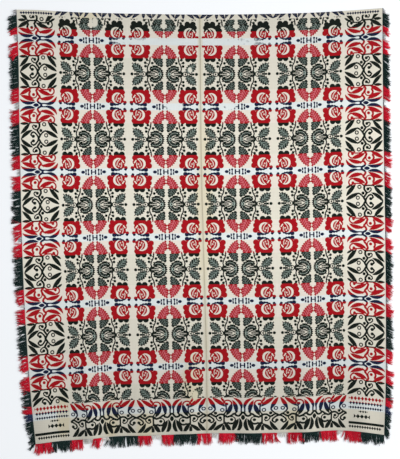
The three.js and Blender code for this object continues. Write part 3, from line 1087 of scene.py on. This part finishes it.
# how much a lock, and how much each yarn by itself, differs in lean and bend (degrees) and the rest
LEAN_SPREAD = (8.0, 5.0)
BEND_SPREAD = (12.0, 8.0)
LENGTH_SPREAD = (0.13, 0.13)
PILE_SPREAD = (0.28, 0.22)
LIGHT_SPREAD = (0.10, 0.15)
DRAWN_TOGETHER = 0.22
THINNER_TIP = 0.35
LIGHTER_TIP = 0.22
THICKNESS_SPREAD = 0.12
# the least and the most that a yarn's length, thickness and brightness may be, as shares of the usual
LENGTH_LIMITS = (0.45, 1.34)
THICKNESS_LIMITS = (0.7, 1.3)
LIGHT_LIMITS = (0.5, 1.6)
FALL_SPEED = 1.4
TIP_SINKS = 0.45


def spread(by, of_lock, of_yarn):
    """What the lock adds and what the yarn adds by itself."""
    return by[0] * of_lock + by[1] * of_yarn


def loose_ends(chance, roots, heading, lengths, colours):
    """Yarns that start at the roots and fall to the floor.

    The heading turns evenly along a yarn. Its place is the sum of its steps, and its height goes from
    that of its root to its own place in the pile, by the smooth curve.
    """
    count = len(roots)
    lock = (np.arange(count) + chance.integers(0, 4, count)) // LOCK_YARNS
    lock_lean, lock_bend, lock_length, lock_height = chance.normal(0, 1, (4, lock.max() + 1))[:, lock]
    own_lean, own_bend, own_length = chance.normal(0, 1, (3, count))
    in_lock = (np.arange(count) % LOCK_YARNS - (LOCK_YARNS - 1) / 2) / LOCK_YARNS
    lean = np.radians(spread(LEAN_SPREAD, lock_lean, own_lean))
    bend = np.radians(spread(BEND_SPREAD, lock_bend, own_bend)) - DRAWN_TOGETHER * in_lock
    share = np.linspace(0, 1, YARN_STEPS + 1)
    angle = (heading + lean)[:, None] + bend[:, None] * share
    stretch = (1 + spread(LENGTH_SPREAD, lock_length, own_length)).clip(*LENGTH_LIMITS)
    step = lengths * stretch / YARN_STEPS
    steps = np.stack([np.cos(angle), np.sin(angle)], -1) * step[:, None, None]
    plan = roots[:, None, :2] + np.cumsum(steps, axis=1) - steps[:, :1]
    in_pile = (0.5 + spread(PILE_SPREAD, lock_height, own_length)).clip(0, 1)
    pile = YARN_RADIUS + PILE_HEIGHT * in_pile
    fall = smooth(share * FALL_SPEED)
    height = roots[:, 2:] * (1 - fall) + pile[:, None] * fall * (1 - TIP_SINKS * share ** 2)
    middles = np.concatenate([plan, np.maximum(height, YARN_RADIUS)[..., None]], -1)
    thickness = (1 + THICKNESS_SPREAD * own_bend[:, None]).clip(*THICKNESS_LIMITS)
    radii = YARN_RADIUS * thickness * (1 - THINNER_TIP * share ** 3)
    light = (1 + spread(LIGHT_SPREAD, lock_height, own_lean)).clip(*LIGHT_LIMITS)
    shades = colours[:, None] * light[:, None, None] * (1 + LIGHTER_TIP * share ** 2)[None, :, None]
    return tubes(middles, radii, shades)


print("yarns of", YARN_STEPS, "steps, in locks of", LOCK_YARNS)

# %% The tape that holds the loose ends
TAPE_GAP = 0.0005
TAPE_WIDTH = 0.006
TAPE_MIDDLE = 0.0010
CORD_RADIUS = 0.0009
CORDS = [
    # place across the tape, as a share of its width, and brightness
    (0.18, 0.85),
    (0.45, 0.95),
    (0.72, 1.05),
]
STATIONS = np.linspace(0, 1, 220)
ROOT_IN = 0.0006
ROOT_RISE = 0.0008


def heading_cords(edge, outward, colours):
    """Three cords that run along an edge and hold the loose ends, side by side in the tape's place."""
    aside, bright = np.array(CORDS).T[:, :, None, None]
    middles = edge + outward * (TAPE_GAP + TAPE_WIDTH * aside) + [0, 0, TAPE_MIDDLE]
    return tubes(middles, np.full(middles.shape[:2], CORD_RADIUS), colours * bright)


def tape_roots(edge, outward):
    """Where yarns start: on the tape, just outside the points of an edge."""
    return edge + outward * (TAPE_GAP + ROOT_IN) + [0, 0, TAPE_MIDDLE + ROOT_RISE]


print("a tape has", len(CORDS), "cords")

# %% [markdown]
# ## The side fringes
# The wefts of the cloth run on past the selvedge and are its fringe, so the fringe takes the colour of
# each band beside it. The navy wool has worn there too, and its tufts are short and thin.

# %% Colours and lean of the side fringes
FRINGE_RED = np.array(srgb(172, 18, 38)[:3])
FRINGE_DARK = np.array(srgb(16, 34, 32)[:3])
FRINGE_NAVY = np.array(srgb(34, 44, 70)[:3])
FRINGE_PALE = np.array(srgb(186, 182, 176)[:3])
FOOT_NAVY_STARTS = 729.0
WORN_KEPT = 0.30
WORN_LENGTH = 0.45
EDGE_JITTER = 1.2
LEAN_TURNS = 0.93
WORN_PALENESS = (0.2, 0.9)


def side_bands(down_squares):
    """Colour beside each place down the edge, and whether it is one of the worn navy bands."""
    from_navy_line = np.abs((down_squares + HALF_REPEAT) % (2 * HALF_REPEAT) - HALF_REPEAT)
    red_reach = np.where(down_squares < 0, FIRST_RED_HALF, RED_HALF)
    navy = (from_navy_line < NAVY_HALF) | (down_squares < HEAD_STRIP)
    red = (from_navy_line < red_reach) & ~navy
    past_foot = down_squares > FOOT_BORDER
    red = np.where(past_foot, down_squares < FOOT_NAVY_STARTS, red)
    navy = np.where(past_foot, (down_squares >= FOOT_NAVY_STARTS) & (down_squares < FOOT_DARK), navy)
    colours = np.where(red[:, None], FRINGE_RED, np.where(navy[:, None], FRINGE_NAVY, FRINGE_DARK))
    return colours, navy & (down_squares < FOOT_BORDER)


print("a worn navy tuft keeps", WORN_KEPT, "of its yarns")


# %% The two side fringes
def side_fringe(name, across, sign, count, lean, lean_at_foot, length, seed):
    """Loose ends down one selvedge. The lean goes from its value along the side to its value at the
    foot corner over the last part of the way down."""
    chance = np.random.default_rng(seed)
    outward = np.array([sign, 0.0, 0.0])
    down = (np.arange(count) + chance.uniform(0, 1, count)) / count
    colours, worn = side_bands(chart_down(down) + chance.normal(0, EDGE_JITTER, count))
    kept = ~worn | (chance.uniform(0, 1, count) < WORN_KEPT)
    down, colours, worn = down[kept], colours[kept], worn[kept]
    pale = chance.uniform(*WORN_PALENESS, len(down))[:, None] * worn[:, None]
    colours = colours + (FRINGE_PALE - colours) * pale
    edge = cloth_place(np.full(len(down), float(across)), down)
    tilt = np.radians(lean + (lean_at_foot - lean) * smooth((down - LEAN_TURNS) / (1 - LEAN_TURNS)))
    heading = -tilt if sign > 0 else np.pi + tilt
    lengths = length * np.where(worn, WORN_LENGTH, 1.0)
    ends = loose_ends(chance, tape_roots(edge, outward), heading, lengths, colours)
    line = cloth_place(np.full(len(STATIONS), float(across)), STATIONS)
    cords = heading_cords(line, outward, side_bands(chart_down(STATIONS))[0])
    return yarn_piece(name, ends, cords)


fringe_left = side_fringe(
    "yarns_left", across=0, sign=-1, count=3600, lean=14, lean_at_foot=58, length=0.041, seed=3
)
fringe_right = side_fringe(
    "yarns_right", across=1, sign=1, count=3600, lean=30, lean_at_foot=54, length=0.034, seed=5
)

# %% [markdown]
# ## The foot fringe
# Here the warp ends are knotted off and yarns of several colours are laid in, so the colour changes
# across the foot in steps of a hand's width, with short pale gaps where yarns are lost.

# %% Bands across the foot
FOOT_BANDS = [
    # share across where the band ends, and its yarn
    (0.0465, "red"), (0.104, "dark"), (0.138, "red"), (0.170, "pale"), (0.193, "red"),
    (0.213, "gap"), (0.299, "dark"), (0.3365, "red"), (0.368, "pale"), (0.4025, "red"),
    (0.4714, "dark"), (0.5116, "red"), (0.5346, "pale"), (0.579, "red"), (0.655, "dark"),
    (0.698, "red"), (0.727, "pale"), (0.767, "red"), (0.819, "dark"), (0.868, "red"),
    (0.888, "gap"), (0.934, "red"), (1.0, "dark"),
]
FOOT_YARNS = {"red": FRINGE_RED, "dark": FRINGE_DARK, "pale": FRINGE_PALE, "gap": FRINGE_PALE}
FOOT_COUNT = 3100
FOOT_LENGTH = 0.047
FOOT_JITTER = 0.0015
band_ends = np.array([end for end, _ in FOOT_BANDS])
band_colours = np.array([FOOT_YARNS[kind] for _, kind in FOOT_BANDS])
band_thin = np.array([kind in ("pale", "gap") for _, kind in FOOT_BANDS])

print(len(FOOT_BANDS), "bands across the foot")

# %% The foot fringe
chance = np.random.default_rng(7)
across_foot = (np.arange(FOOT_COUNT) + chance.uniform(0, 1, FOOT_COUNT)) / FOOT_COUNT
moved = (across_foot + chance.normal(0, FOOT_JITTER, FOOT_COUNT)).clip(0, 1)
band = np.searchsorted(band_ends, moved)
kept = ~band_thin[band] | (chance.uniform(0, 1, FOOT_COUNT) < WORN_KEPT)
across_foot, band = across_foot[kept], band[kept]
downward = np.array([0.0, -1.0, 0.0])
roots = tape_roots(cloth_place(across_foot, np.ones(len(across_foot))), downward)
lengths = FOOT_LENGTH * np.where(band_thin[band], WORN_LENGTH, 1.0)
headings = np.full(len(across_foot), -np.pi / 2)
foot_ends = loose_ends(chance, roots, headings, lengths, band_colours[band])
foot_line = cloth_place(STATIONS, np.ones(len(STATIONS)))
foot_cords = heading_cords(foot_line, downward, band_colours[np.searchsorted(band_ends, STATIONS)])
fringe_foot = yarn_piece("yarns_foot", foot_ends, foot_cords)

# %% [markdown]
# ## Sewing
# The seam is overcast: the needle goes over the two selvedges again and again, and each stitch shows
# as a short slanting thread. The hems are held with small running stitches.

# %% Seam and hem stitches
THREAD_RADIUS = 0.00035
THREAD_LIFT = 0.0001
THREAD_COLOUR = np.array(srgb(206, 196, 164)[:3])
SEAM_STITCHES = 360
SEAM_STITCH_REACH = 0.0027
SEAM_SLANT = 0.0012
SEAM_DIP = 0.0012
HEM_STITCHES = 150
HEM_STITCH = 0.0045
HEM_INSET = 0.0088
HEM_MARGIN = 0.015
HEM_DIP = 0.0009
over = np.linspace(-1, 1, 7)


def stitches(x, y, z):
    """Tubes of sewing thread. x, y and z give the middle lines, each for all or for every point."""
    middles = np.stack(np.broadcast_arrays(x, y, z), -1)
    count, steps = middles.shape[:2]
    radii = np.full((count, steps), THREAD_RADIUS)
    return tubes(middles, radii, np.tile(THREAD_COLOUR, (count, steps, 1)))


def hem_line(side, down, sign):
    """Running stitches at HEM_INSET from one end of a panel, dipping into the cloth at both ends."""
    share = (np.arange(HEM_STITCHES) + 0.5) / HEM_STITCHES * (1 - 2 * HEM_MARGIN) + HEM_MARGIN
    x, y, z = cloth_place((side + share) / 2, np.full(HEM_STITCHES, down)).T[..., None]
    z = z + CLOTH + HEM_RISE + THREAD_LIFT - HEM_DIP * over ** 4
    return stitches(x + HEM_STITCH / 2 * over, y + sign * HEM_INSET, z)


stitch_down = (np.arange(SEAM_STITCHES) + 0.5) / SEAM_STITCHES
x, y, z = cloth_place(np.full(SEAM_STITCHES, 0.5), stitch_down).T[..., None]
z = z + CLOTH + SEAM_RISE + THREAD_LIFT - SEAM_DIP * over ** 4
seam_thread = yarn_piece("seam_stitches", stitches(x + SEAM_STITCH_REACH * over, y - SEAM_SLANT * over, z))
hem_lines = [hem_line(side, down, sign) for side in (0, 1) for down, sign in ((0.0, -1), (1.0, 1))]
hem_thread = yarn_piece("hem_stitches", *hem_lines)

# %% [markdown]
# ## What the yarns are made of
# Wool yarn is matt and a little fuzzy. The colour comes from the attribute, and a fine noise along the
# yarn stands for its twist.

# %% Yarn material and the nodes that the fringes stand for
TWIST_DEPTH = 0.5
yarn = Draft("wool yarn")
yarn_place = yarn.node("TexCoord").outputs["Object"]
dyed = yarn.node("Attribute", attribute_name="yarn_colour").outputs["Color"]
twist = yarn.noise(yarn_place, 900.0, 2.0)
twist_shade = yarn.grey(yarn.math("MULTIPLY_ADD", twist, TWIST_DEPTH, 1 - TWIST_DEPTH / 2))
yarn.surface({
    "Base Color": yarn.blend(1.0, dyed, twist_shade, kind="MULTIPLY"),
    "Roughness": 0.95,
    "Specular IOR Level": 0.1,
    "Sheen Weight": 0.03,
    "Sheen Roughness": 0.6,
})

fringes = ((fringe_left, "fringe_left"), (fringe_right, "fringe_right"), (fringe_foot, "fringe_foot"))
for piece, node in fringes:
    piece.data.materials.append(yarn.material)
    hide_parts(node)
for piece in (seam_thread, hem_thread):
    piece.data.materials.append(yarn.material)
print("yarn material on five pieces")

# %% [markdown]
# ## Floor, light and camera
# The coverlet lies on a plain, nearly white floor under broad soft light, brighter from the right, so
# that the ripples at the foot and the fringe cast faint shadows to the left. The camera looks straight
# down from high up with a long lens, so that the edges don't seem to lean.

# %% Floor
FLOOR_HALF = 60.0
corners = np.array([(-1, -1, 0), (1, -1, 0), (1, 1, 0), (-1, 1, 0)]) * FLOOR_HALF
floor = put("floor", smooth_mesh("floor", corners, np.array([(0, 1, 2, 3)])))
plain = Draft("plain floor")
plain.surface({"Base Color": srgb(233, 235, 237), "Roughness": 0.8})
floor.data.materials.append(plain.material)
print("floor laid at Z = 0")


# %% Light
def soft_light(name, place, aim, size, watts, colour=(1, 1, 1)):
    """A square light at place that faces aim."""
    lamp = bpy.data.lights.new(name, "AREA")
    lamp.shape = "SQUARE"
    lamp.size = size
    lamp.energy = watts
    lamp.color = colour
    holder = put(name, lamp)
    holder.location = place
    holder.rotation_euler = (Vector(aim) - holder.location).to_track_quat("-Z", "Y").to_euler()


soft_light("key", (9.0, 0.6, 3.6), (0.0, 0.0, 0.0), 3.2, 900, (1.0, 0.985, 0.96))
soft_light("fill", (-1.5, 0.4, 7.5), (0.0, 0.0, 0.0), 4.0, 160, (0.97, 0.985, 1.0))
world = bpy.data.worlds.new("pale room")
world.use_nodes = True
air = world.node_tree.nodes["Background"]
air.inputs["Color"].default_value = (0.95, 0.97, 1.0, 1)
air.inputs["Strength"].default_value = 0.60
bpy.context.scene.world = world
bpy.context.scene.view_settings.view_transform = "Standard"
print("key and fill lights and a pale room")

# %% Camera
CAMERA_HEIGHT = 5.6355
CAMERA_DOWN = 1.1149
camera_data = bpy.data.cameras.new("camera")
camera_data.lens = 85
camera_data.sensor_width = 36
camera = put("camera", camera_data)
camera.location = (SHIFT_X, CAMERA_DOWN + SHIFT_Y, CAMERA_HEIGHT)
bpy.context.scene.camera = camera
print("camera straight above, at", CAMERA_HEIGHT, "m")
